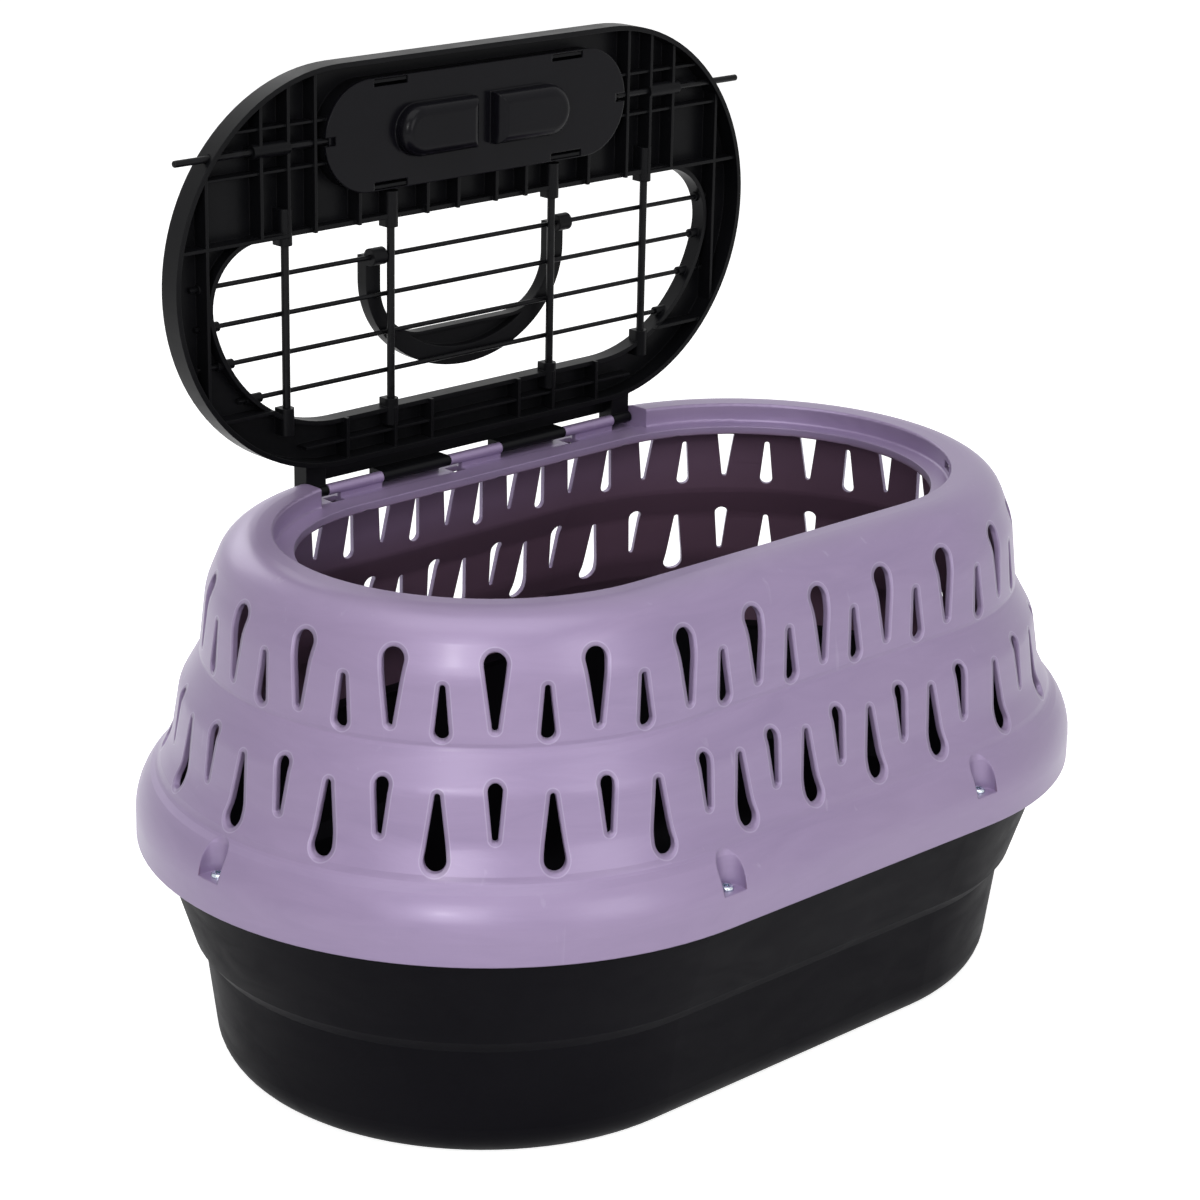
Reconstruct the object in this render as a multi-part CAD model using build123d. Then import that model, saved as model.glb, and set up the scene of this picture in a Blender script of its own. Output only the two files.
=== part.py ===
from build123d import *
import os
from math import cos, radians, sin

# Top-opening pet carrier: tub, vented shell, grille lid on a rear hinge, handle, twin rod latch.
# Frame: +X along the length, -Y is the front, the hinge is on the +Y side, +Z up.
# The origin is the centre of the tub's underside. Every size is in millimetres.
# The lid's pieces are modelled shut, then turned about the hinge to stand open at rest.

os.makedirs("parts", exist_ok=True)

# Plan shape shared by every ring of the body
half_straight = 85.5

# Tub
tub_wall = 2.4
tub_floor_radius = 121.9
tub_bottom_bend = 20.0
tub_waist_radius = 129.2
tub_waist_z = 58.0
tub_step_radius = 134.3
tub_step_z = 64.5
tub_top_radius = 149.5
tub_flange_z = 112.3
tub_flange_thickness = 2.4
tub_flange_gap = 0.4
tub_recess_depth = 1.2
tub_recess_radius = 84.0

# Shell
shell_wall = 2.6
skirt_bottom_z = 112.0
skirt_radius = 158.9
skirt_bend_z = 133.5
skirt_bend = 28.0
junction_radius = 148.3
junction_z = 145.5
junction_bend = 5.0
lower_tier_radius = 142.0
lower_tier_z = 158.0
lower_tier_bend = 22.0
shoulder_radius = 138.2
shoulder_z = 181.5
shoulder_bend = 14.0
tier_radius = 129.0
tier_z = 197.5
tier_bend = 5.0
crown_base_radius = 125.5
crown_base_z = 228.0
crown_base_bend = 30.0
crown_radius = 115.5
crown_bend = 19.0
crown_z = 252.5
recess_radius = 95.0
recess_edge_bend = 1.2
recess_depth = 9.4
mouth_radius = 86.0
lip_thickness = 2.2
lip_drop = 4.0

# Teardrop vents: wide and narrow ones alternate round both tiers
vent_pitch = 41.6
vent_straight_bays = 4
vent_end_bays = 9
large_vent_width = 9.8
small_vent_width = 6.4
vent_tip_radius = 1.3
upper_large_span = (205.0, 238.0)
upper_small_span = (201.0, 224.5)
lower_small_span = (161.0, 185.5)
lower_large_span = (148.5, 181.0)
vent_cut_depth = 45.0

# Screws that hold the shell down on the tub
screw_offset = 83.0
screw_radial = 152.6
pocket_radial = 155.8
pocket_radius = 7.2
pocket_floor_z = 127.4
screw_shank_radius = 1.75
screw_head_radius = 3.3
screw_head_height = 2.0
screw_length = 12.0
screw_recess_width = 0.9
screw_recess_depth = 1.0
boss_radius = 3.0
screw_hole_clearance = 0.15

# Hinge
hinge_y = 105.5
hinge_z = 246.5
open_angle = 90.0
knuckle_radius = 2.7
pin_radius = 1.2
pin_clearance = 0.08
pin_half_length = 99.0
notch_half_width = 105.0
notch_start_y = 97.0
notch_floor_z = 241.5
knuckle_width = 33.0
knuckle_pitch = 75.5
knuckle_web = 2.4
knuckle_hole_width = 7.5
knuckle_hole_margin = 1.0
ear_half_span = 104.0
hinge_side_gap = 0.4
stop_gap = 0.3

# Lid
lid_half_straight = 84.0
lid_radius = 94.0
lid_thickness = 12.1
lid_seat_gap = 0.3
lid_edge_bend = 1.6
skin_thickness = 2.4
skirt_wall = 2.4
window_radius = 72.5
window_top = 18.0
window_corner = 28.0
window_wall = 2.2
window_wall_drop = 6.0
rib_thickness = 1.6
fine_rib_thickness = 1.2
rib_drop = 8.2
side_rib_pitch = 15.5
end_rib_span = (-70.0, 62.0)
hinge_rib_x = (28.0, 80.0)
front_rib_x = (12.0, 31.0, 72.0)

# Grille
bar_radius = 1.9
wire_radius = 1.15
bar_inner_x = 50.8
bar_outer_x = 113.3
wire_pitch = 18.5
wire_count = 4
wire_drop = 1.25
cross_gap = 0.1
socket_clearance = 0.05
socket_radius = 3.5
socket_reach = 4.0
socket_depth = 12.0
back_socket_depth = 7.8
wire_socket_radius = 2.3
wire_socket_reach = 4.5
wire_end_reach = 8.5

# Carry handle
handle_outer_half = 62.5
handle_offset = 1.5
handle_arm_width = 8.5
handle_reach = 61.4
handle_arm_straight = 12.0
handle_grip_height = 20.0
handle_corner = 26.0
handle_depth = 7.5
handle_barrel_radius = 4.2
handle_barrel_length = 7.8
handle_lift = 2.4
handle_bore_clearance = 0.08
handle_channel_depth = 4.5
handle_channel_rim = 9.0
handle_lip = 1.8
handle_edge_bend = 1.5

# Latch
latch_y = -59.0
rod_radius = 1.6
rod_clearance = 0.2
rod_grip_clearance = 0.05
rod_z = 247.2
rod_tip_x = 175.5
latch_travel = 18.0
cover_half_length = 93.5
cover_half_width = 26.0
cover_thickness = 1.6
cover_top_z = 244.8
cover_notch_length = 6.0
housing_wall = 2.0
housing_inset = 0.5
bulge_inner_x = 5.9
bulge_outer_x = 52.5
bulge_half_width = 12.2
bulge_drop = 8.0
bulge_wall = 1.7
bulge_bend = 5.0
snap_x = 55.0
snap_width = 20.0
snap_depth = 3.4
snap_gap = 0.3
snap_hook = 1.6
snap_recess = 0.6
slide_gap = 0.3
slide_thickness = 1.6
slide_cup_wall = 1.6
slide_end_x = 90.0
slide_arm_x = 56.0
slide_half_width = 19.5
slide_block_length = 11.0
slide_block_width = 8.0
slide_lug_width = 2.0
spring_y = -42.6
spring_z = 248.9
spring_radius = 2.1
spring_bore = 1.4
spring_gap = 0.3
spring_post_half = 3.0
guide_radius = 3.4
guide_from_x = 112.5
guide_to_x = 133.0
catch_height = 4.0
catch_half_width = 4.2
catch_reach = 9.0

# Heights of the shut lid, worked out from its seat
ledge_z = crown_z - recess_depth
lid_bottom_z = ledge_z + lid_seat_gap
lid_top_z = lid_bottom_z + lid_thickness
skin_z = lid_top_z - skin_thickness
wire_z = skin_z - wire_drop
bar_z = wire_z - wire_radius - bar_radius - cross_gap
rib_z = skin_z - rib_drop
lid_end = lid_half_straight + lid_radius
bar_positions = (-bar_outer_x, -bar_inner_x, bar_inner_x, bar_outer_x)
knuckle_centres = (-knuckle_pitch, 0.0, knuckle_pitch)
open_lid = Pos(0, hinge_y, hinge_z) * Rot(-open_angle, 0, 0) * Pos(0, -hinge_y, -hinge_z)


def save(shape, name):
    shape.label = name
    export_step(shape, f"parts/{name}.step")


def save_open(shape, name):
    save(open_lid * shape, name)


def block(x0, x1, y0, y1, z0, z1):
    """Rectangular solid between two corners."""
    size = Box(abs(x1 - x0), abs(y1 - y0), abs(z1 - z0))
    return Pos((x0 + x1) / 2, (y0 + y1) / 2, (z0 + z1) / 2) * size


def rod_along_x(x0, x1, y, z, radius):
    rod = Cylinder(radius, abs(x1 - x0), rotation=(0, 90, 0))
    return Pos((x0 + x1) / 2, y, z) * rod


def rod_along_y(x, y0, y1, z, radius):
    rod = Cylinder(radius, abs(y1 - y0), rotation=(90, 0, 0))
    return Pos(x, (y0 + y1) / 2, z) * rod


def upright_rod(x, y, z0, z1, radius):
    return Pos(x, y, (z0 + z1) / 2) * Cylinder(radius, abs(z1 - z0))


def stadium(half_length, radius):
    """Flat outline: two straight sides of twice half_length between half circles."""
    return SlotCenterToCenter(2 * half_length, 2 * radius)


def prism(face, z0, z1):
    return extrude(Pos(0, 0, z0) * face, z1 - z0)


def stadium_width_at(half_length, radius, y):
    """Distance from the centre to the stadium's edge along X, at a given Y."""
    return half_length + (radius**2 - y**2) ** 0.5


def stadium_body(section):
    """Solid with one upright section all round: straight sides between two half turns."""
    reach = 2 * skirt_radius
    half = section & (Pos(reach / 2, 0) * Rectangle(reach, 4 * crown_z))
    middle = extrude(Plane.YZ * section, half_straight, both=True)
    ends = [
        Pos(side * half_straight, 0, 0) * revolve(Plane.YZ * half, Axis.Z, -side * 180)
        for side in (-1, 1)
    ]
    return middle + ends


def full_section(outline):
    """Closed section from its right-hand edge, which starts and ends on the centre line."""
    face = make_face([*outline.edges(), Line(outline @ 1, outline @ 0)])
    return face + mirror(face, Plane.YZ)


def around(radial, z):
    """Places of the six screws: one at each end and two along each side."""
    places = [Pos(side * (half_straight + radial), 0, z) for side in (-1, 1)]
    places += [Pos(x, y * radial, z) for x in (-screw_offset, screw_offset) for y in (-1, 1)]
    return places


def tub_section(inset=0.0):
    """Section of the tub's outside, or of its inside when inset by the wall."""
    points = [(0, inset), (tub_floor_radius - inset, inset), (tub_waist_radius - inset, tub_waist_z),
              (tub_step_radius - inset, tub_step_z), (tub_top_radius - inset, tub_flange_z)]
    top = tub_flange_z + tub_flange_thickness
    points += [(tub_top_radius - inset, top + inset), (0, top + inset)]
    return full_section(FilletPolyline(points, radius=[tub_bottom_bend - inset, 0, 0, 0, 0]))


def make_tub():
    flange_radius = skirt_radius - shell_wall - tub_flange_gap
    flange_top = tub_flange_z + tub_flange_thickness
    tub = stadium_body(tub_section())
    tub += prism(stadium(half_straight, flange_radius), tub_flange_z, flange_top)
    pocket_underside = pocket_floor_z - shell_wall
    boss = upright_rod(0, 0, tub_flange_z, pocket_underside, boss_radius)
    tub += [place * boss for place in around(screw_radial, 0)]
    tub -= stadium_body(tub_section(tub_wall))
    tub -= prism(stadium(half_straight, tub_recess_radius), 0, tub_recess_depth)
    pilot_radius = screw_shank_radius + screw_hole_clearance
    pilot_floor = pocket_floor_z - screw_length - 2 * screw_hole_clearance
    pilot = upright_rod(0, 0, pilot_floor, pocket_floor_z, pilot_radius)
    return tub - [place * pilot for place in around(screw_radial, 0)]


def shell_section():
    """Section of the shell's outside: skirt, two tiers, rolled crown, and the recess for the lid."""
    corners = [
        ((skirt_radius, skirt_bend_z), skirt_bend),
        ((junction_radius, junction_z), junction_bend),
        ((lower_tier_radius, lower_tier_z), lower_tier_bend),
        ((shoulder_radius, shoulder_z), shoulder_bend),
        ((tier_radius, tier_z), tier_bend),
        ((crown_base_radius, crown_base_z), crown_base_bend),
        ((crown_radius, crown_z), crown_bend),
        ((recess_radius, crown_z), recess_edge_bend),
        ((recess_radius, ledge_z), recess_edge_bend),
    ]
    points = [(0, skirt_bottom_z), (skirt_radius, skirt_bottom_z)]
    points += [point for point, _ in corners]
    points += [(0, ledge_z)]
    return full_section(FilletPolyline(points, radius=[0] + [bend for _, bend in corners]))


def notch(margin=0.0):
    """Gap in the rim's back for the hinge, or the same gap grown by a wall."""
    half_width = notch_half_width + margin
    rear = half_straight + skirt_radius
    deep = block(-half_width, half_width, notch_start_y - margin, rear, notch_floor_z - margin, 2 * crown_z)
    shallow = block(-half_width, half_width, mouth_radius - margin, rear, ledge_z - margin, 2 * crown_z)
    return deep + shallow


def teardrop(width, low, high, round_end_up):
    """Upright drop outline from a wide round end to a narrow tip."""
    wide = width / 2
    ends = (high - wide, low + vent_tip_radius) if round_end_up else (low + wide, high - vent_tip_radius)
    wide_end = Pos(0, ends[0]) * Circle(wide)
    tip = Pos(0, ends[1]) * Circle(vent_tip_radius)
    return make_hull([*wide_end.edges(), *tip.edges()])


def vent_stations(shifted):
    """Places of one set of vents, each with its outward direction; the sets are half a bay apart."""
    shift = 0.5 if shifted else 0.0
    count = vent_straight_bays if shifted else vent_straight_bays + 1
    first = -vent_straight_bays / 2 + shift
    stations = [((first + i) * vent_pitch, -90.0) for i in range(count)]
    stations += [((first + i) * vent_pitch, 90.0) for i in range(count)]
    bay = 180.0 / vent_end_bays
    end_count = vent_end_bays if shifted else vent_end_bays - 1
    for i in range(end_count):
        turn = (i + (0.5 if shifted else 1.0)) * bay
        stations += [(half_straight, -90.0 + turn), (-half_straight, 90.0 + turn)]
    return stations


def vent_cutters(outline, shifted, radial):
    """Prisms that cut one row of vents through the wall, square to it in plan."""
    cutters = []
    for x, angle in vent_stations(shifted):
        outward = Vector(cos(radians(angle)), sin(radians(angle)), 0)
        start = Vector(x, 0, 0) + outward * (radial - vent_cut_depth / 2)
        plane = Plane(origin=start, x_dir=Vector(0, 0, 1).cross(outward), z_dir=outward)
        cutters.append(extrude(plane * outline, vent_cut_depth))
    return cutters


def make_shell():
    outer = stadium_body(shell_section())
    pocket = upright_rod(0, 0, pocket_floor_z, crown_z, pocket_radius)
    outer -= [place * pocket for place in around(pocket_radial, 0)]
    outer -= notch()

    # The inside follows the outside one wall further in, round the pockets and the notch too
    section = offset(shell_section(), -shell_wall)
    inner_bottom = skirt_radius - shell_wall
    section += Pos(0, skirt_bottom_z) * Rectangle(2 * inner_bottom, 4 * shell_wall)
    inner = stadium_body(section)
    wide_pocket = upright_rod(0, 0, pocket_floor_z - shell_wall, crown_z, pocket_radius + shell_wall)
    inner -= [place * wide_pocket for place in around(pocket_radial, 0)]
    inner -= notch(shell_wall)
    shell = outer - inner

    # Mouth with its hanging lip
    lip_outer = mouth_radius + lip_thickness
    shell += prism(stadium(half_straight, lip_outer), ledge_z - lip_drop, ledge_z)
    shell -= prism(stadium(half_straight, mouth_radius), ledge_z - 2 * lip_drop, crown_z)

    upper = (tier_radius + crown_base_radius) / 2
    lower = (lower_tier_radius + shoulder_radius) / 2
    rows = [
        (large_vent_width, upper_large_span, True, False, upper),
        (small_vent_width, upper_small_span, False, True, upper),
        (small_vent_width, lower_small_span, True, False, lower),
        (large_vent_width, lower_large_span, False, True, lower),
    ]
    for width, span, round_end_up, shifted, radial in rows:
        outline = teardrop(width, *span, round_end_up)
        shell -= vent_cutters(outline, shifted, radial)

    # Hinge knuckles on thin webs, with a cored hole in the floor under each one's left end
    for x in knuckle_centres:
        half = knuckle_width / 2
        hole_end = x - half + knuckle_hole_width
        shell -= block(x - half, hole_end, notch_start_y + knuckle_hole_margin, hinge_y + knuckle_radius,
                       notch_floor_z - 2 * shell_wall, notch_floor_z + shell_wall)
        shell += rod_along_x(x - half, x + half, hinge_y, hinge_z, knuckle_radius)
        shell += block(hole_end, x + half, hinge_y - knuckle_web / 2, hinge_y + knuckle_web / 2,
                       notch_floor_z - shell_wall / 2, hinge_z)
    shell -= rod_along_x(-notch_half_width, notch_half_width, hinge_y, hinge_z, pin_radius + pin_clearance)

    # Slots in the recess wall that the latch rods snap into
    wall_x = stadium_width_at(half_straight, recess_radius, latch_y)
    for side in (-1, 1):
        shell -= block(side * (wall_x - catch_reach / 2), side * (wall_x + catch_reach),
                       latch_y - catch_half_width, latch_y + catch_half_width,
                       rod_z - catch_height / 2, rod_z + catch_height / 2)

    hole = upright_rod(0, 0, skirt_bottom_z, crown_z, screw_shank_radius + 2 * screw_hole_clearance)
    return shell - [place * hole for place in around(screw_radial, 0)]


def make_screws():
    """Pan-head screws with a cross recess."""
    shank = upright_rod(0, 0, pocket_floor_z - screw_length, pocket_floor_z, screw_shank_radius)
    head = upright_rod(0, 0, pocket_floor_z, pocket_floor_z + screw_head_height, screw_head_radius)
    head = fillet(head.edges().group_by(Axis.Z)[-1], screw_head_height * 0.6)
    top = pocket_floor_z + screw_head_height
    arm = screw_head_radius * 0.6
    half = screw_recess_width / 2
    cross = block(-arm, arm, -half, half, top - screw_recess_depth, top)
    cross += block(-half, half, -arm, arm, top - screw_recess_depth, top)
    screw = shank + head - cross
    return Compound([place * screw for place in around(screw_radial, 0)])


def window_outline(margin=0.0):
    """Opening of the lid: a stadium cut straight along its front, with two soft corners."""
    face = stadium(lid_half_straight, window_radius + margin)
    reach = 2 * lid_end
    depth = window_top + margin + window_radius + margin
    centre = window_radius + margin - depth / 2
    face &= Pos(0, centre) * Rectangle(reach, depth)
    corners = face.vertices().group_by(Axis.Y)[0]
    return fillet(corners, window_corner + margin)


def rear_strip():
    """Plate from the lid's back edge to the hinge, its ears and the barrels under it."""
    strip_end = hinge_y + (hinge_z - notch_floor_z) - stop_gap
    strip = block(-ear_half_span, ear_half_span, lid_radius - 2 * skirt_wall, strip_end, skin_z, lid_top_z)
    end_edges = strip.edges().filter_by(Axis.X).group_by(Axis.Y)[-1]
    strip = fillet(end_edges.sort_by(Axis.Z)[-1], lid_edge_bend)
    first = knuckle_width / 2 + hinge_side_gap
    second = knuckle_pitch - knuckle_width / 2 - hinge_side_gap
    third = knuckle_pitch + knuckle_width / 2 + hinge_side_gap
    for side in (-1, 1):
        for x0, x1 in ((first, second), (third, ear_half_span)):
            strip += rod_along_x(side * x0, side * x1, hinge_y, hinge_z, knuckle_radius)
            strip += block(side * x0, side * x1, hinge_y - knuckle_radius, hinge_y, hinge_z, skin_z)
        ear = block(side * third, side * ear_half_span, lid_radius - skirt_wall, hinge_y,
                    hinge_z - knuckle_radius + shell_wall, skin_z)
        strip += ear
    for x in knuckle_centres:
        strip -= block(x - first, x + first, hinge_y - knuckle_radius, strip_end, skin_z - lid_thickness, lid_top_z)
    bore = rod_along_x(-pin_half_length - hinge_side_gap, pin_half_length + hinge_side_gap,
                       hinge_y, hinge_z, pin_radius + pin_clearance)
    return strip - bore


def lid_ribs():
    """Stiffening ribs: beside the latch, round the window's ends and along the hinge side."""
    ribs = []
    half = rib_thickness / 2
    fine = fine_rib_thickness / 2
    front = -lid_radius
    window_front = -window_top
    for side in (-1, 1):
        for x in (bar_outer_x - side_rib_pitch, bar_outer_x, bar_outer_x + side_rib_pitch):
            ribs.append(block(side * x - half, side * x + half, front, window_front, rib_z, skin_z))
        for y in (latch_y - 10.0, latch_y + 10.0):
            ribs.append(block(side * (cover_half_length - 6.0), side * lid_end, y - fine, y + fine,
                              rib_z + 1.0, skin_z))
        end_x = side * (lid_half_straight + window_radius + window_wall + half)
        ribs.append(block(end_x - half, end_x + half, *end_rib_span, rib_z, skin_z))
        for y in (-window_top - half, end_rib_span[1]):
            ribs.append(block(side * (bar_outer_x + half), side * lid_end, y - half, y + half, rib_z, skin_z))
        for x in front_rib_x:
            ribs.append(block(side * x - half, side * x + half, latch_y + cover_half_width - 1.0,
                              window_front, rib_z, skin_z))
        for x in (*hinge_rib_x, bar_inner_x):
            ribs.append(block(side * x - half, side * x + half, window_radius, lid_radius, rib_z, skin_z))
    middle_y = (window_radius + lid_radius) / 2
    ribs.append(block(-ear_half_span, ear_half_span, middle_y - fine, middle_y + fine, rib_z + 1.0, skin_z))
    return ribs


def wire_y(index):
    return index * wire_pitch


def window_half_width(y):
    """Distance from the centre to the window's edge along X, at a given Y."""
    return stadium_width_at(lid_half_straight, window_radius, y)


def bar_ends(x):
    """Front and back ends of an upright bar inside its sockets."""
    beyond = max(0.0, abs(x) - lid_half_straight)
    back = (window_radius**2 - beyond**2) ** 0.5
    return -window_top - socket_depth, back + back_socket_depth


def grille_sockets():
    """Bosses that hold the ends of the bars and the wires."""
    sockets = []
    for x in bar_positions:
        front, back = bar_ends(x)
        back_edge = back - back_socket_depth
        for y0, y1 in ((front - 1.0, -window_top + socket_reach), (back_edge - socket_reach, back + 1.0)):
            sockets.append(rod_along_y(x, y0, y1, bar_z, socket_radius))
            sockets.append(block(x - socket_radius, x + socket_radius, y0, y1, bar_z, skin_z))
    for i in range(wire_count):
        y = wire_y(i)
        edge = window_half_width(y)
        for side in (-1, 1):
            sockets.append(rod_along_x(side * (edge - wire_socket_reach), side * (edge + 2 * window_wall), y,
                                       wire_z, wire_socket_radius))
    return sockets


def grille_bores():
    bores = []
    for x in bar_positions:
        front, back = bar_ends(x)
        bores.append(rod_along_y(x, front, back, bar_z, bar_radius + socket_clearance))
    for i in range(wire_count):
        y = wire_y(i)
        half = window_half_width(y) + 2 * wire_end_reach
        bores.append(rod_along_x(-half, half, y, wire_z, wire_radius + socket_clearance))
    return bores


def latch_housing():
    """Wall that carries the cover, the rod guides and the posts behind the springs."""
    half_length = cover_half_length - cover_half_width
    outer = cover_half_width - housing_inset
    ring = stadium(half_length, outer) - stadium(half_length, outer - housing_wall)
    housing = prism(Pos(0, latch_y) * ring, cover_top_z, skin_z)
    housing += block(-spring_post_half, spring_post_half, spring_y - 2 * spring_radius,
                     latch_y + outer - housing_wall / 2, cover_top_z + snap_gap, skin_z)
    hook_y = cover_half_width - housing_inset - snap_gap
    half = snap_width / 2 - snap_gap
    for side_x in (-1, 1):
        for side_y in (-1, 1):
            x = side_x * snap_x
            housing += block(x - half, x + half, latch_y + side_y * hook_y,
                             latch_y + side_y * (hook_y - snap_hook),
                             cover_top_z - cover_thickness + snap_recess, skin_z)
    for side in (-1, 1):
        housing += rod_along_x(side * guide_from_x, side * guide_to_x, latch_y, rod_z, guide_radius)
        housing += block(side * guide_from_x, side * guide_to_x, latch_y - guide_radius / 2,
                         latch_y + guide_radius / 2, rod_z, skin_z)
    return housing


def finger_opening(side, margin=0.0):
    """Slot in the lid's skin over each finger cup: square inside end, round outer end."""
    half = bulge_half_width - bulge_wall + margin
    inner = bulge_inner_x + bulge_wall - margin
    outer = bulge_outer_x - bulge_wall + margin
    face = Pos((inner + outer - half) / 2, 0) * Rectangle(outer - half - inner, 2 * half)
    face += Pos(outer - half, 0) * Circle(half)
    face = face if side > 0 else mirror(face, Plane.YZ)
    return Pos(0, latch_y) * face


def make_lid_frame():
    skin = prism(stadium(lid_half_straight, lid_radius), skin_z, lid_top_z)
    skin = fillet(skin.edges().group_by(Axis.Z)[-1], lid_edge_bend)
    ring = stadium(lid_half_straight, lid_radius) - stadium(lid_half_straight, lid_radius - skirt_wall)
    window_ring = window_outline(window_wall) - window_outline()
    body = skin + prism(ring, lid_bottom_z, skin_z)
    body -= prism(window_outline(), lid_bottom_z, lid_top_z)
    body += prism(window_ring, skin_z - window_wall_drop, skin_z)
    ribs = Part() + lid_ribs()
    ribs &= prism(stadium(lid_half_straight, lid_radius - skirt_wall / 2), lid_bottom_z, lid_top_z)
    ribs -= prism(window_outline(), lid_bottom_z, lid_top_z)
    sockets = Part() + grille_sockets()
    ribs += sockets & prism(stadium(lid_half_straight, lid_radius - skirt_wall / 2), lid_bottom_z, lid_top_z)
    cover_straight = cover_half_length - cover_half_width
    cover_zone = Pos(0, latch_y) * stadium(cover_straight, cover_half_width + snap_gap)
    ribs -= prism(cover_zone, lid_bottom_z, cover_top_z + snap_gap)
    housing_zone = Pos(0, latch_y) * stadium(cover_straight, cover_half_width - housing_inset)
    ribs -= prism(housing_zone, lid_bottom_z, skin_z)
    body += ribs
    body += latch_housing()
    body += rear_strip()
    body -= grille_bores()
    for side in (-1, 1):
        body -= prism(finger_opening(side), skin_z, lid_top_z)
        body -= rod_along_x(side * (bulge_outer_x + housing_wall), side * (lid_end + 1.0), latch_y, rod_z,
                            rod_radius + rod_clearance)
        body -= rod_slot(side)
    return body


def rod_slot(side):
    """Way for the rod's grip block through the housing wall, down to the cover."""
    half = rod_radius + rod_clearance
    return block(side * (cover_half_length - 6.0), side * (cover_half_length + 2.0), latch_y - half,
                 latch_y + half, cover_top_z, rod_z)


def make_cover():
    """Snap-on plate over the latch, with two bulges that make room for the finger cups."""
    half_length = cover_half_length - cover_half_width
    plate = Pos(0, latch_y) * stadium(half_length, cover_half_width)
    cover = prism(plate, cover_top_z - cover_thickness, cover_top_z)
    floor_z = cover_top_z - cover_thickness - bulge_drop
    for side in (-1, 1):
        bulge = prism(finger_opening(side, bulge_wall), floor_z, cover_top_z - cover_thickness)
        cover += fillet(bulge.edges().group_by(Axis.Z)[0], bulge_bend)
    for side in (-1, 1):
        cavity = prism(finger_opening(side), floor_z + bulge_wall, cover_top_z)
        cover -= fillet(cavity.edges().group_by(Axis.Z)[0], bulge_bend - bulge_wall)
        half = rod_radius + 2 * rod_clearance
        cover -= block(side * (cover_half_length - cover_notch_length), side * (cover_half_length + 1.0),
                       latch_y - half, latch_y + half, 0, cover_top_z)
        for side_y in (-1, 1):
            y = latch_y + side_y * (cover_half_width - housing_inset - snap_depth / 2)
            x = side * snap_x
            cover -= block(x - snap_width / 2, x + snap_width / 2, y - snap_depth / 2, y + snap_depth / 2,
                           0, cover_top_z)
    return cover


def make_slide(side):
    """Thumb slide: a finger cup, a plate under the lid's skin and a block that grips the rod."""
    top = skin_z - slide_gap
    cup_outer = bulge_outer_x - bulge_wall - slide_gap
    cup_inner = bulge_inner_x + bulge_wall + slide_gap + latch_travel
    half = bulge_half_width - bulge_wall - slide_gap
    face = Pos((cup_inner + cup_outer - half) / 2, latch_y) * Rectangle(cup_outer - half - cup_inner, 2 * half)
    face += Pos(cup_outer - half, latch_y) * Circle(half)
    hollow = Pos(0, 0) * offset(face, -slide_cup_wall)
    cup_floor = cover_top_z - cover_thickness - bulge_drop + bulge_wall + slide_gap
    slide = prism(face, cup_floor, top)
    slide = fillet(slide.edges().group_by(Axis.Z)[0], bulge_bend - bulge_wall - slide_gap)
    plate_half = half + slide_cup_wall
    slide += block(cup_inner - slide_cup_wall, slide_end_x - slide_block_length, latch_y - plate_half,
                   latch_y + plate_half, top - slide_thickness, top)
    slide += block(slide_arm_x, slide_arm_x + slide_block_width, latch_y, latch_y + slide_half_width,
                   top - slide_thickness, top)
    slide += block(slide_arm_x, slide_arm_x + slide_lug_width, spring_y - spring_radius,
                   spring_y + spring_radius, cover_top_z + slide_gap, top)
    slide += block(slide_end_x - slide_block_length, slide_end_x, latch_y - slide_block_width / 2,
                   latch_y + slide_block_width / 2, cover_top_z + slide_gap, top)
    slide -= prism(hollow, cup_floor + slide_cup_wall, top)
    slide -= rod_along_x(slide_end_x - slide_block_length + slide_cup_wall, slide_end_x, latch_y, rod_z,
                         rod_radius + rod_grip_clearance)
    return slide if side > 0 else mirror(slide, Plane.YZ)


def make_rod(side):
    """Steel rod from its grip block out through the lid's edge, with a rounded tip."""
    start = slide_end_x - slide_block_length + slide_cup_wall
    rod = rod_along_x(start, rod_tip_x, latch_y, rod_z, rod_radius)
    rod = fillet(rod.edges().group_by(Axis.X)[-1], rod_radius * 0.6)
    return rod if side > 0 else mirror(rod, Plane.YZ)


def make_spring(side):
    """Return spring between the fixed post and the slide's lug, as its outer sleeve."""
    x0 = spring_post_half + spring_gap
    x1 = slide_arm_x - spring_gap
    sleeve = rod_along_x(x0, x1, spring_y, spring_z, spring_radius)
    sleeve -= rod_along_x(x0, x1, spring_y, spring_z, spring_bore)
    return sleeve if side > 0 else mirror(sleeve, Plane.YZ)


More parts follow.
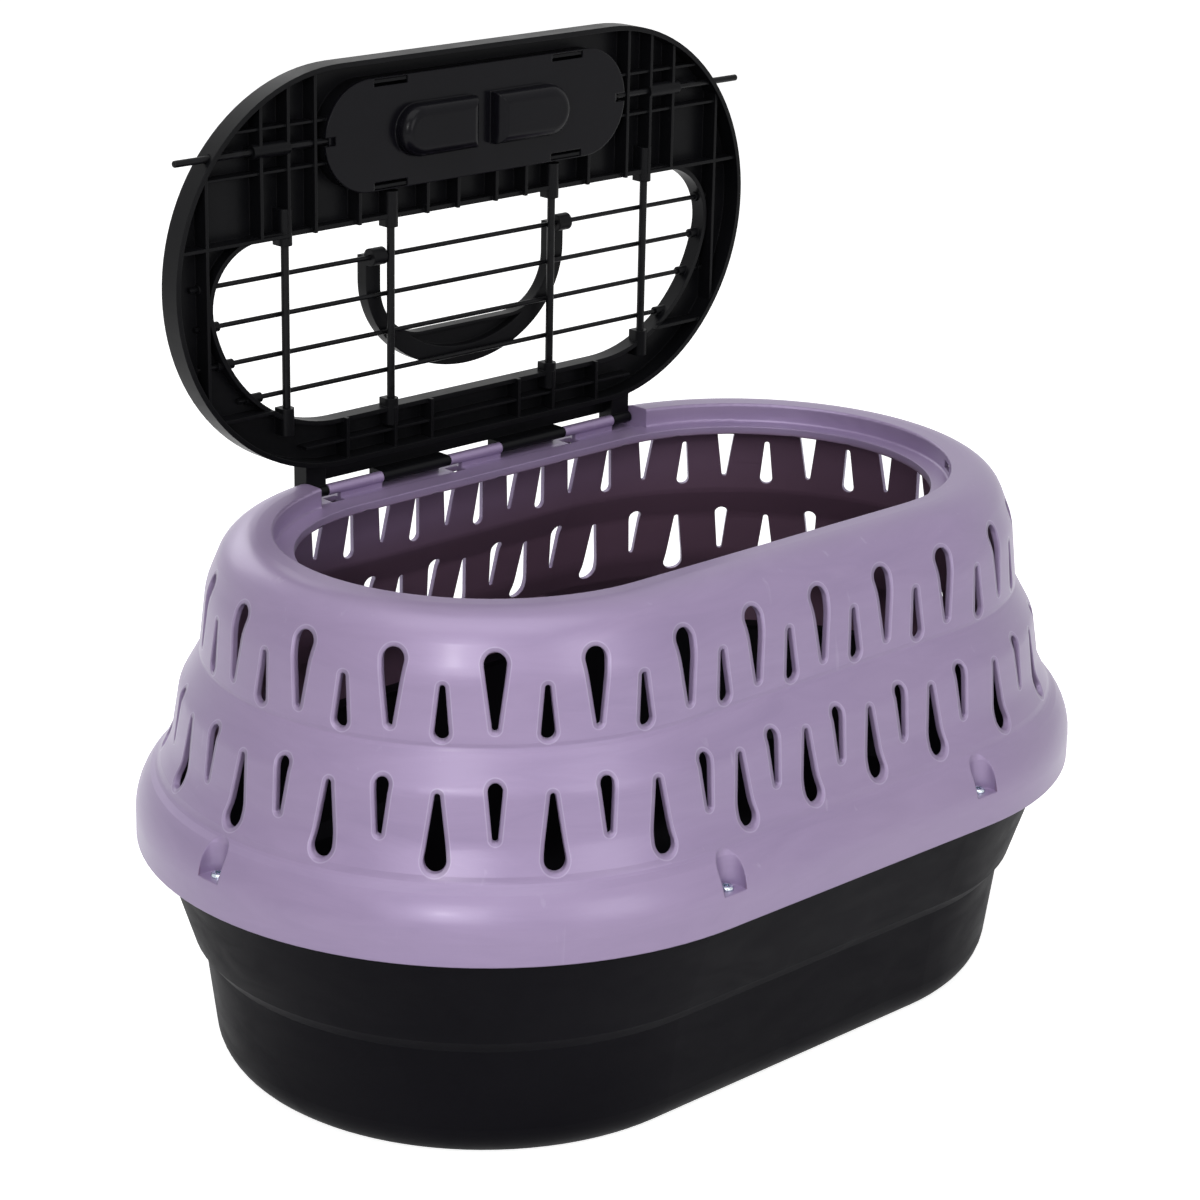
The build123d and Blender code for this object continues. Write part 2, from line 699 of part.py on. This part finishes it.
def make_handle():
    """Folding bail: two barrels on the first wire, flat arms and a deep grip with a channel."""
    base_z = wire_z + handle_lift
    width = handle_outer_half
    depth = handle_reach - handle_arm_straight
    outline = Pos(0, handle_arm_straight / 2) * Rectangle(2 * width, handle_arm_straight)
    half_ellipse = Pos(0, handle_arm_straight) * Ellipse(width, depth)
    outline += half_ellipse & (Pos(0, handle_arm_straight + depth / 2) * Rectangle(2 * width, depth))
    inner_half = width - handle_arm_width
    inner_depth = handle_reach - handle_grip_height
    hollow = Pos(0, inner_depth / 2) * Rectangle(2 * inner_half, inner_depth)
    hollow = fillet(hollow.vertices().group_by(Axis.Y)[-1], handle_corner)
    handle = prism(outline - hollow, base_z, base_z + handle_depth)
    handle = fillet(handle.edges().group_by(Axis.Z)[-1], handle_edge_bend)

    # The grille side is stepped back inside a proud outer band
    inside = Pos(0, handle_arm_straight) * Ellipse(width - handle_channel_rim, depth - handle_channel_rim)
    inside -= offset(hollow, handle_lip)
    channel = prism(inside, base_z, base_z + handle_channel_depth)
    handle -= channel & block(-width, width, 2 * handle_arm_straight, handle_reach, 0, lid_top_z * 2)

    for side in (-1, 1):
        x0 = side * (width - handle_barrel_length)
        x1 = side * width
        handle += rod_along_x(x0, x1, 0, wire_z, handle_barrel_radius)
        handle += block(x0, x1, 0, handle_barrel_radius, wire_z, base_z + handle_depth / 2)
    bore = rod_along_x(-width, width, 0, wire_z, wire_radius + handle_bore_clearance)
    return Pos(handle_offset, 0, 0) * (handle - bore)


save(make_tub(), "bottom_tub")
save(make_shell(), "top_shell")
save(make_screws(), "shell_screws")
save(rod_along_x(-pin_half_length, pin_half_length, hinge_y, hinge_z, pin_radius), "hinge_pin")
save_open(make_lid_frame(), "lid_frame")
save_open(make_cover(), "latch_cover")
save_open(make_handle(), "carry_handle")

for index, x in enumerate(bar_positions, start=1):
    front, back = bar_ends(x)
    save_open(rod_along_y(x, front, back, bar_z, bar_radius), f"cross_bar_{index}")

for index in range(wire_count):
    y = wire_y(index)
    half = window_half_width(y) + wire_end_reach
    save_open(rod_along_x(-half, half, y, wire_z, wire_radius), f"grille_wire_{index + 1}")

for side, name in ((-1, "left"), (1, "right")):
    save_open(make_slide(side), f"latch_slide_{name}")
    save_open(make_rod(side), f"latch_rod_{name}")
    save_open(make_spring(side), f"latch_spring_{name}")
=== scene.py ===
import math
import bpy
from mathutils import Matrix, Vector

# Top-opening pet carrier: materials, floor, light and camera round the finished CAD pieces.
# Lengths are in metres in the CAD frame unless a name or comment says millimetres.
# The lid stands open at rest.

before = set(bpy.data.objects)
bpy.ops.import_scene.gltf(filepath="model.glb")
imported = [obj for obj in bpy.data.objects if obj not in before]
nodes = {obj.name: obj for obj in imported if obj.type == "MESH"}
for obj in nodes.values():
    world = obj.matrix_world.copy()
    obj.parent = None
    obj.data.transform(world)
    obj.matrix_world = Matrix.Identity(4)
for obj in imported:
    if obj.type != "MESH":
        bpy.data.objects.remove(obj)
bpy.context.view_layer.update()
scene = bpy.context.scene


# Shell in millimetres: half length of its straight sides, heights of the ledge and of the two creases
STRAIGHT_HALF = 85.5
LEDGE_HEIGHT = 243.1
SKIRT_CREASE = 144.6
TIER_CREASE = 198.2

# Vents of one row: millimetres from one to the next along a side, degrees round an end,
# and in millimetres the radius of the narrow tip and the width of the bevel line
VENT_PITCH = 41.6
VENT_TURN = 20.0
VENT_TIP_RADIUS = 1.3
VENT_BEVEL = 1.8
# Row (row 1 stands half a step further on), height of the wide end's centre, height of the tip's centre,
# radius of the wide end
VENTS = [
    (0, 233.1, 206.3, 4.9),
    (1, 204.2, 223.2, 3.2),
    (0, 182.3, 162.3, 3.2),
    (1, 153.4, 179.7, 4.9),
]

# Shell colours, linear
SHELL_STREAKS = ((0.290, 0.216, 0.372), (0.332, 0.250, 0.416))
SHELL_CLOUDS = (0.332, 0.250, 0.392)
# Painted highlight: the lighter line round each vent where the bevel's outer edge would catch the light
SHELL_RIM_HIGHLIGHT = (0.56, 0.48, 0.66)
SHELL_SCUFFS = (0.52, 0.46, 0.60)
SHELL_REFLECTION_TINT = (0.88, 0.92, 1.0, 1.0)
# Inner wall, painted light and shade: lit lilac high up on the left, shaded plum low down on the right
INNER_SHADE_PLUM = (0.200, 0.112, 0.172)
INNER_LIT_LILAC = (0.330, 0.225, 0.385)

# Thick and thin spots of the wires' black coat
WIRE_COAT = ((0.003, 0.003, 0.0035), (0.008, 0.008, 0.0095))

# Floor and surroundings
FLOOR_REACH = 6.0
FLOOR_GREY = 0.85
FLOOR_GLOW = 0.84
WORLD_FILL = 0.20

# Softboxes: name, place, target, width and height, watts
SOFTBOXES = [
    ("softbox_overhead", (-0.42, -0.35, 1.70), (0.0, 0.0, 0.15), (1.6, 1.2), 11.0),
    ("softbox_front", (-0.10, -1.78, 0.78), (0.0, 0.0, 0.15), (0.7, 0.9), 6.0),
    ("softbox_left", (-1.45, -1.10, 0.95), (0.0, 0.0, 0.15), (0.6, 0.9), 7.5),
    ("softbox_back", (0.35, 1.80, 1.05), (0.0, 0.0, 0.15), (1.1, 0.9), 6.0),
    ("softbox_spark", (-1.50, -1.00, 0.90), (0.0, 0.0, 0.25), (0.10, 0.10), 2.6),
]

# Camera fitted to the photograph: place, angles in radians, focal length and image width in pixels
CAMERA_PLACE = (-1.0123, -1.0352, 0.7030)
CAMERA_YAW = 0.767
CAMERA_PITCH = 0.335
CAMERA_ROLL = 0.021
FOCAL_PIXELS = 3267.712
IMAGE_PIXELS = 1200.0
SENSOR_MM = 36.0


# Node helpers

def new_material(name):
    """A node material that holds only its output and a Principled shader."""
    material = bpy.data.materials.new(name)
    material.use_nodes = True
    tree = material.node_tree
    tree.nodes.clear()
    output = tree.nodes.new("ShaderNodeOutputMaterial")
    shader = tree.nodes.new("ShaderNodeBsdfPrincipled")
    tree.links.new(shader.outputs["BSDF"], output.inputs["Surface"])
    return material, tree, shader


def coordinates(tree, scale):
    """Object coordinates, which are the frame's own metres, times scale."""
    source = tree.nodes.new("ShaderNodeTexCoord")
    mapping = tree.nodes.new("ShaderNodeMapping")
    mapping.inputs["Scale"].default_value = scale
    tree.links.new(source.outputs["Object"], mapping.inputs["Vector"])
    return mapping.outputs["Vector"]


def place_in_mm(tree):
    """X, Y and Z of the shaded point in millimetres, as the outputs of one node."""
    parts = tree.nodes.new("ShaderNodeSeparateXYZ")
    tree.links.new(coordinates(tree, (1000, 1000, 1000)), parts.inputs[0])
    return parts.outputs


def noise(tree, scale, detail, roughness=0.5, distortion=0.0, stretch=(1, 1, 1)):
    """Noise from 0 to 1; a stretch above 1 packs it closer along that axis."""
    node = tree.nodes.new("ShaderNodeTexNoise")
    node.inputs["Scale"].default_value = scale
    node.inputs["Detail"].default_value = detail
    node.inputs["Roughness"].default_value = roughness
    node.inputs["Distortion"].default_value = distortion
    tree.links.new(coordinates(tree, stretch), node.inputs["Vector"])
    return node.outputs["Fac"]


def remap(tree, value, low, high, out_low=0.0, out_high=1.0):
    """Low to high becomes out_low to out_high, and stays there outside."""
    node = tree.nodes.new("ShaderNodeMapRange")
    node.inputs["From Min"].default_value = low
    node.inputs["From Max"].default_value = high
    node.inputs["To Min"].default_value = out_low
    node.inputs["To Max"].default_value = out_high
    tree.links.new(value, node.inputs["Value"])
    return node.outputs["Result"]


def calculate(tree, operation, *values):
    """One Math node; each value is a number or a socket."""
    node = tree.nodes.new("ShaderNodeMath")
    node.operation = operation
    for place, value in enumerate(values):
        if isinstance(value, (int, float)):
            node.inputs[place].default_value = value
        else:
            tree.links.new(value, node.inputs[place])
    return node.outputs[0]


def blend_colours(tree, factor, first, second):
    """Colour mix; first and second are colours or sockets."""
    node = tree.nodes.new("ShaderNodeMix")
    node.data_type = "RGBA"
    tree.links.new(factor, node.inputs["Factor"])
    for label, value in (("A", first), ("B", second)):
        socket = [s for s in node.inputs if s.name == label and s.type == "RGBA"][0]
        if isinstance(value, tuple):
            socket.default_value = (*value, 1.0)
        else:
            tree.links.new(value, socket)
    return [s for s in node.outputs if s.type == "RGBA"][0]


def bump(tree, shader, layers, edge=0.0):
    """Chain of bump layers (height socket, distance in metres, strength) over softened edges."""
    normal = None
    if edge:
        bevel = tree.nodes.new("ShaderNodeBevel")
        bevel.samples = 6
        bevel.inputs["Radius"].default_value = edge
        normal = bevel.outputs["Normal"]
    for height, distance, strength in layers:
        node = tree.nodes.new("ShaderNodeBump")
        node.inputs["Distance"].default_value = distance
        node.inputs["Strength"].default_value = strength
        tree.links.new(height, node.inputs["Height"])
        if normal is not None:
            tree.links.new(normal, node.inputs["Normal"])
        normal = node.outputs["Normal"]
    tree.links.new(normal, shader.inputs["Normal"])


# Patterns that follow the shell's shape

def vent_distance(tree):
    """Distance in millimetres from the edge of the nearest vent, over both tiers of the shell."""
    place = place_in_mm(tree)
    along = calculate(tree, "ABSOLUTE", place["X"])
    across = calculate(tree, "ABSOLUTE", place["Y"])
    beyond = calculate(tree, "MAXIMUM", calculate(tree, "SUBTRACT", along, STRAIGHT_HALF), 0.0)
    at_end = calculate(tree, "GREATER_THAN", beyond, 0.0)
    turn = calculate(tree, "ARCTAN2", beyond, across)
    beyond_squared = calculate(tree, "MULTIPLY", beyond, beyond)
    across_squared = calculate(tree, "MULTIPLY", across, across)
    radius = calculate(tree, "SQRT", calculate(tree, "ADD", beyond_squared, across_squared))
    half_pitch = VENT_PITCH / 2
    half_turn = math.radians(VENT_TURN) / 2
    on_side = calculate(tree, "PINGPONG", along, half_pitch)
    round_end = calculate(tree, "PINGPONG", turn, half_turn)
    # The vent where side and end meet is centred on the side's own step, a little before the turn begins
    meets_side = calculate(tree, "LESS_THAN", turn, half_turn)
    shift = calculate(tree, "MULTIPLY", meets_side, STRAIGHT_HALF - 2 * VENT_PITCH)
    end_rows = (
        calculate(tree, "ADD", calculate(tree, "MULTIPLY", radius, round_end), shift),
        calculate(tree, "MULTIPLY", radius, calculate(tree, "SUBTRACT", half_turn, round_end)),
    )
    side_rows = (on_side, calculate(tree, "SUBTRACT", half_pitch, on_side))
    sideways = []
    for side_row, end_row in zip(side_rows, end_rows):
        difference = calculate(tree, "SUBTRACT", end_row, side_row)
        sideways.append(calculate(tree, "MULTIPLY_ADD", difference, at_end, side_row))
    nearest = None
    for row, wide_z, tip_z, wide_radius in VENTS:
        share = remap(tree, place["Z"], wide_z, tip_z)
        centre = calculate(tree, "MULTIPLY_ADD", share, tip_z - wide_z, wide_z)
        offset = tree.nodes.new("ShaderNodeCombineXYZ")
        tree.links.new(sideways[row], offset.inputs["X"])
        tree.links.new(calculate(tree, "SUBTRACT", place["Z"], centre), offset.inputs["Y"])
        length = tree.nodes.new("ShaderNodeVectorMath")
        length.operation = "LENGTH"
        tree.links.new(offset.outputs[0], length.inputs[0])
        edge = calculate(tree, "MULTIPLY_ADD", share, VENT_TIP_RADIUS - wide_radius, wide_radius)
        distance = calculate(tree, "SUBTRACT", length.outputs["Value"], edge)
        nearest = distance if nearest is None else calculate(tree, "MINIMUM", nearest, distance)
    return nearest


def height_band(tree, height, inner, outer):
    """0 at a height in millimetres, rising to 1 from inner to outer millimetres above and below it."""
    away = calculate(tree, "ABSOLUTE", calculate(tree, "SUBTRACT", place_in_mm(tree)["Z"], height))
    return remap(tree, away, inner, outer)


def inside_of_shell(tree):
    """1 on the faces that look into the cabin, 0 on the outer faces and from the ledge up."""
    place = place_in_mm(tree)
    capped = calculate(tree, "MINIMUM", place["X"], STRAIGHT_HALF)
    on_axis = calculate(tree, "MAXIMUM", capped, -STRAIGHT_HALF)
    outward = tree.nodes.new("ShaderNodeCombineXYZ")
    tree.links.new(calculate(tree, "SUBTRACT", place["X"], on_axis), outward.inputs["X"])
    tree.links.new(place["Y"], outward.inputs["Y"])
    facing = tree.nodes.new("ShaderNodeVectorMath")
    facing.operation = "DOT_PRODUCT"
    geometry = tree.nodes.new("ShaderNodeNewGeometry")
    tree.links.new(outward.outputs[0], facing.inputs[0])
    tree.links.new(geometry.outputs["True Normal"], facing.inputs[1])
    # Millimetres from the axis times the share of the normal that points outward: negative faces inward
    inwards = remap(tree, facing.outputs["Value"], -60.0, -20.0, 1.0, 0.0)
    below_ledge = remap(tree, place["Z"], LEDGE_HEIGHT - 5.0, LEDGE_HEIGHT - 2.0, 1.0, 0.0)
    return calculate(tree, "MULTIPLY", inwards, below_ledge)


def inner_painted_shade(tree):
    """Painted light and shade on the inner wall: paler lilac high up on the left, where more light falls
    in, darker plum in the shade low down and to the right.
    """
    place = place_in_mm(tree)
    high = remap(tree, place["Z"], TIER_CREASE - 6.0, TIER_CREASE + 12.0, 0.15, 1.0)
    left = remap(tree, place["X"], -120.0, 190.0, 1.0, 0.1)
    return blend_colours(tree, calculate(tree, "MULTIPLY", high, left), INNER_SHADE_PLUM, INNER_LIT_LILAC)


# Materials

def pearl_plastic(name):
    """Lilac moulding with a pearl lustre, faint flow streaks, rubbed spots, a bevel round each vent with a
    painted highlight line along it, and painted light and shade on the inner wall.
    """
    material, tree, shader = new_material(name)
    streaks = noise(tree, 14.0, detail=5.0, roughness=0.6, distortion=1.4, stretch=(1.0, 1.0, 5.0))
    clouds = noise(tree, 6.0, detail=2.0, distortion=0.3)
    colour = blend_colours(tree, remap(tree, streaks, 0.3, 0.7), *SHELL_STREAKS)
    colour = blend_colours(tree, remap(tree, clouds, 0.35, 0.7, 0.0, 0.4), colour, SHELL_CLOUDS)
    distance = vent_distance(tree)
    # A painted highlight line runs round each vent along the bevel's outer edge
    from_rim = calculate(tree, "ABSOLUTE", calculate(tree, "SUBTRACT", distance, VENT_BEVEL))
    rim_highlight = remap(tree, from_rim, 0.15, 0.4, 0.35, 0.0)
    colour = blend_colours(tree, rim_highlight, colour, SHELL_RIM_HIGHLIGHT)
    scuffs = noise(tree, 170.0, detail=3.0, distortion=0.4, stretch=(1.0, 1.0, 0.06))
    colour = blend_colours(tree, remap(tree, scuffs, 0.70, 0.78, 0.0, 0.22), colour, SHELL_SCUFFS)
    inside = inside_of_shell(tree)
    # The faces that look into the cabin get painted light and shade in place of the outer colours
    colour = blend_colours(tree, inside, colour, inner_painted_shade(tree))
    tree.links.new(colour, shader.inputs["Base Color"])
    shader.inputs["Metallic"].default_value = 0.2
    shader.inputs["Specular IOR Level"].default_value = 0.6
    shader.inputs["Specular Tint"].default_value = SHELL_REFLECTION_TINT
    shader.inputs["Coat Weight"].default_value = 0.25
    shader.inputs["Coat Roughness"].default_value = 0.2
    tree.links.new(remap(tree, streaks, 0.25, 0.75, 0.40, 0.49), shader.inputs["Roughness"])
    grain = noise(tree, 1400.0, detail=2.0)
    waves = noise(tree, 30.0, detail=2.0)
    flow = noise(tree, 9.0, detail=6.0, roughness=0.62, distortion=2.2, stretch=(1.0, 1.0, 9.0))
    # The inner wall is smooth, so each groove is levelled there
    bevel = calculate(tree, "MAXIMUM", remap(tree, distance, 0.1, VENT_BEVEL), inside)
    skirt_crease = calculate(tree, "MAXIMUM", height_band(tree, SKIRT_CREASE, 0.6, 3.2), inside)
    tier_crease = calculate(tree, "MAXIMUM", height_band(tree, TIER_CREASE, 0.2, 1.7), inside)
    layers = [
        (bevel, 0.0010, 1.0),
        (skirt_crease, 0.0008, 1.0),
        (tier_crease, 0.00045, 1.0),
        (waves, 0.0006, 0.12),
        (flow, 0.0008, 0.12),
        (grain, 0.00008, 0.16),
    ]
    bump(tree, shader, layers, 0.001)
    return material


def dark_plastic(name, tones, rough, grain_scale, grain_depth, edge, gloss):
    """Dark moulding: two near tones in clouds, fine surface grain and uneven gloss."""
    material, tree, shader = new_material(name)
    clouds = noise(tree, 11.0, detail=4.0, roughness=0.55, distortion=0.5)
    mixed = blend_colours(tree, remap(tree, clouds, 0.3, 0.7), *tones)
    tree.links.new(mixed, shader.inputs["Base Color"])
    shader.inputs["Specular IOR Level"].default_value = gloss
    smudges = noise(tree, 26.0, detail=3.0, roughness=0.6, distortion=0.8, stretch=(1, 1, 2.5))
    tree.links.new(remap(tree, smudges, 0.3, 0.75, *rough), shader.inputs["Roughness"])
    grain = noise(tree, grain_scale, detail=2.0, roughness=0.6)
    waves = noise(tree, 24.0, detail=1.0)
    bump(tree, shader, [(waves, 0.0005, 0.08), (grain, grain_depth, 0.35)], edge)
    return material


def coated_wire(name):
    """Black dipped steel with thin and thick spots in the coat."""
    material, tree, shader = new_material(name)
    spots = noise(tree, 160.0, detail=3.0, roughness=0.6)
    colour = blend_colours(tree, remap(tree, spots, 0.35, 0.75), *WIRE_COAT)
    tree.links.new(colour, shader.inputs["Base Color"])
    tree.links.new(remap(tree, spots, 0.3, 0.7, 0.24, 0.42), shader.inputs["Roughness"])
    shader.inputs["Specular IOR Level"].default_value = 0.12
    bump(tree, shader, [(spots, 0.0002, 0.2)])
    return material


def bare_metal(name, tones, rough, scale, stretch=(1, 1, 1)):
    """Metal with tone and gloss that vary along fine marks."""
    material, tree, shader = new_material(name)
    marks = noise(tree, scale, detail=4.0, roughness=0.6, stretch=stretch)
    mixed = blend_colours(tree, remap(tree, marks, 0.3, 0.7), *tones)
    tree.links.new(mixed, shader.inputs["Base Color"])
    shader.inputs["Metallic"].default_value = 1.0
    tree.links.new(remap(tree, marks, 0.3, 0.7, *rough), shader.inputs["Roughness"])
    bump(tree, shader, [(marks, 0.0001, 0.2)])
    return material


looks = {
    "shell": pearl_plastic("lilac_pearl_plastic"),
    "tub": dark_plastic(
        "tub_black_plastic", ((0.0045, 0.0042, 0.0060), (0.0070, 0.0066, 0.0088)), (0.44, 0.58),
        grain_scale=900.0, grain_depth=0.00012, edge=0.0006, gloss=0.03),
    "lid": dark_plastic(
        "lid_black_plastic", ((0.0030, 0.0031, 0.0038), (0.0052, 0.0052, 0.0062)), (0.32, 0.44),
        grain_scale=1300.0, grain_depth=0.00006, edge=0.0005, gloss=0.09),
    "cover": dark_plastic(
        "cover_black_plastic", ((0.0036, 0.0034, 0.0050), (0.0056, 0.0053, 0.0074)), (0.17, 0.25),
        grain_scale=1500.0, grain_depth=0.00003, edge=0.0010, gloss=0.10),
    "handle": dark_plastic(
        "handle_black_plastic", ((0.0042, 0.0042, 0.0050), (0.0066, 0.0066, 0.0076)), (0.34, 0.46),
        grain_scale=1200.0, grain_depth=0.00007, edge=0.001, gloss=0.08),
    "wire": coated_wire("black_coated_wire"),
    "screw": bare_metal(
        "zinc_plated_steel", ((0.42, 0.48, 0.54), (0.66, 0.72, 0.78)), (0.16, 0.30), 500.0),
    "pin": bare_metal(
        "drawn_pin_steel", ((0.42, 0.42, 0.44), (0.56, 0.56, 0.58)), (0.25, 0.4), 60.0, (1, 20, 20)),
    "spring": bare_metal(
        "spring_steel", ((0.34, 0.34, 0.36), (0.48, 0.48, 0.5)), (0.25, 0.4), 800.0),
}
# Every piece that is not named here is a coated wire, bar or rod
node_looks = {
    "bottom_tub": "tub",
    "top_shell": "shell",
    "shell_screws": "screw",
    "hinge_pin": "pin",
    "lid_frame": "lid",
    "carry_handle": "handle",
    "latch_cover": "cover",
    "latch_slide_left": "cover",
    "latch_slide_right": "cover",
    "latch_spring_left": "spring",
    "latch_spring_right": "spring",
}
for name, node in nodes.items():
    node.data.materials.clear()
    node.data.materials.append(looks[node_looks.get(name, "wire")])


# Floor, surroundings and light

def backdrop_rays(tree):
    """1 for rays of the camera, of reflections and of glass, 0 for the rays that light the object."""
    path = tree.nodes.new("ShaderNodeLightPath")
    seen = path.outputs["Is Camera Ray"]
    for ray in ("Is Glossy Ray", "Is Transmission Ray"):
        seen = calculate(tree, "MAXIMUM", seen, path.outputs[ray])
    return seen


def white_where_lit(name, grey, glow_strength):
    """Pale floor that shows as white to the camera and in reflections, and keeps the shadow."""
    material, tree, shader = new_material(name)
    output = [n for n in tree.nodes if n.type == "OUTPUT_MATERIAL"][0]
    shader.inputs["Base Color"].default_value = (grey, grey, grey, 1.0)
    shader.inputs["Roughness"].default_value = 0.9
    glow = tree.nodes.new("ShaderNodeEmission")
    strength = remap(tree, backdrop_rays(tree), 0.0, 1.0, 0.0, glow_strength)
    tree.links.new(strength, glow.inputs["Strength"])
    total = tree.nodes.new("ShaderNodeAddShader")
    tree.links.new(shader.outputs["BSDF"], total.inputs[0])
    tree.links.new(glow.outputs["Emission"], total.inputs[1])
    tree.links.new(total.outputs["Shader"], output.inputs["Surface"])
    return material


def white_backdrop_world(fill):
    """World: white where the camera or a reflection looks at it, a softer fill for diffuse light."""
    world = bpy.data.worlds.new("studio_world")
    scene.world = world
    world.use_nodes = True
    tree = world.node_tree
    tree.nodes.clear()
    output = tree.nodes.new("ShaderNodeOutputWorld")
    background = tree.nodes.new("ShaderNodeBackground")
    background.inputs["Color"].default_value = (1.0, 1.0, 1.0, 1.0)
    strength = remap(tree, backdrop_rays(tree), 0.0, 1.0, fill, 1.0)
    tree.links.new(strength, background.inputs["Strength"])
    tree.links.new(background.outputs["Background"], output.inputs["Surface"])


def softbox(name, place, target, size, watts):
    """Rectangular lamp at place that faces target."""
    data = bpy.data.lights.new(name, "AREA")
    data.shape = "RECTANGLE"
    data.size, data.size_y = size
    data.energy = watts
    lamp = bpy.data.objects.new(name, data)
    scene.collection.objects.link(lamp)
    lamp.location = place
    lamp.rotation_mode = "QUATERNION"
    lamp.rotation_quaternion = (Vector(target) - Vector(place)).to_track_quat("-Z", "Y")


white_backdrop_world(WORLD_FILL)
for name, place, target, size, watts in SOFTBOXES:
    softbox(name, place, target, size, watts)

mesh = bpy.data.meshes.new("floor")
corners = [(x * FLOOR_REACH, y * FLOOR_REACH, 0.0) for x, y in ((-1, -1), (1, -1), (1, 1), (-1, 1))]
mesh.from_pydata(corners, [], [(0, 1, 2, 3)])
floor = bpy.data.objects.new("floor", mesh)
scene.collection.objects.link(floor)
floor.data.materials.append(white_where_lit("white_floor", FLOOR_GREY, FLOOR_GLOW))


# Camera at the photograph's viewpoint

def photo_camera():
    """Camera with the photograph's place, angles and field of view."""
    forward = Vector((
        math.sin(CAMERA_YAW) * math.cos(CAMERA_PITCH),
        math.cos(CAMERA_YAW) * math.cos(CAMERA_PITCH),
        -math.sin(CAMERA_PITCH),
    ))
    level_right = Vector((math.cos(CAMERA_YAW), -math.sin(CAMERA_YAW), 0.0))
    level_up = level_right.cross(forward)
    right = math.cos(CAMERA_ROLL) * level_right + math.sin(CAMERA_ROLL) * level_up
    up = -math.sin(CAMERA_ROLL) * level_right + math.cos(CAMERA_ROLL) * level_up
    data = bpy.data.cameras.new("photo_camera")
    data.sensor_width = SENSOR_MM
    data.lens = FOCAL_PIXELS / IMAGE_PIXELS * SENSOR_MM
    data.clip_end = 50.0
    camera = bpy.data.objects.new("photo_camera", data)
    scene.collection.objects.link(camera)
    rotation = Matrix((right, up, -forward)).transposed().to_4x4()
    camera.matrix_world = Matrix.Translation(CAMERA_PLACE) @ rotation
    scene.camera = camera


photo_camera()
scene.view_settings.view_transform = "Standard"
